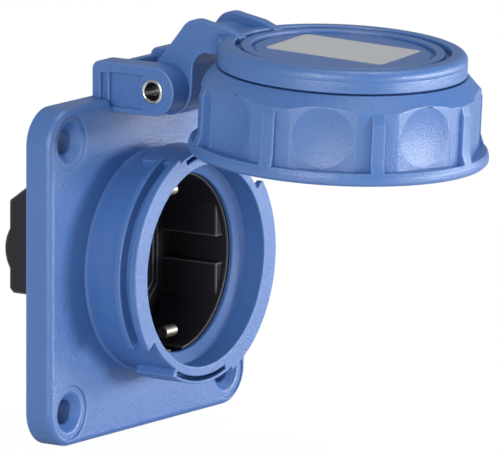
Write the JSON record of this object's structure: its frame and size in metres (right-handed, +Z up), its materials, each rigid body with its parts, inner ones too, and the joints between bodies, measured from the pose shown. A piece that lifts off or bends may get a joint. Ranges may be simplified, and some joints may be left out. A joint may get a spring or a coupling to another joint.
{
  "type": "panel socket",
  "caption": "Square-flange panel socket for an earthed two-pin plug, with a bayonet collar and a hinged sealing lid that a turning grip ring locks.",
  "frame": {"origin": "middle of the square flange's mounting face, on the collar's axis", "axes": "-Y towards the plug side (front), +Z up towards the lid's hinge, +X to the right seen from the front"},
  "size_m": [0.075, 0.1094, 0.0936],
  "materials": {
    "blue_plastic": "satin moulded, finely grained",
    "black_plastic": "satin moulded",
    "seal_rubber": "matt",
    "contact_brass": "bright stamped",
    "zinc_steel": "zinc plated",
    "nickel_pin": "bright plated"
  },
  "bodies": {
    "housing": {"flange_housing": "blue_plastic", "panel_seal": "seal_rubber", "insert_seal": "seal_rubber", "socket_insert": "black_plastic", "terminal_housing": "black_plastic", "contact_left": "contact_brass", "contact_right": "contact_brass", "earth_strip": "contact_brass", "clamp_left": "zinc_steel", "clamp_right": "zinc_steel", "clamp_earth": "zinc_steel", "terminal_screws": "zinc_steel", "insert_screws": "zinc_steel", "cover_screws": "zinc_steel", "hinge_pin": "nickel_pin"},
    "lid": {"lid": "blue_plastic", "seal_carrier": "blue_plastic", "carrier_screws": "zinc_steel", "lid_seal": "seal_rubber"},
    "ring": {"bayonet_ring": "blue_plastic"}
  },
  "joints": [
    {"name": "lid_hinge", "type": "hinge", "parent": "housing", "child": "lid", "pos_m": [0, -0.0173, 0.0402], "axis": [1, 0, 0], "range_deg": [-78, 87]},
    {"name": "ring_turn", "type": "hinge", "parent": "lid", "child": "ring", "pos_m": [0, -0.05732, 0.0358], "axis": [0, -0.0523, 0.9986], "range_deg": [-60, 0]}
  ]
}
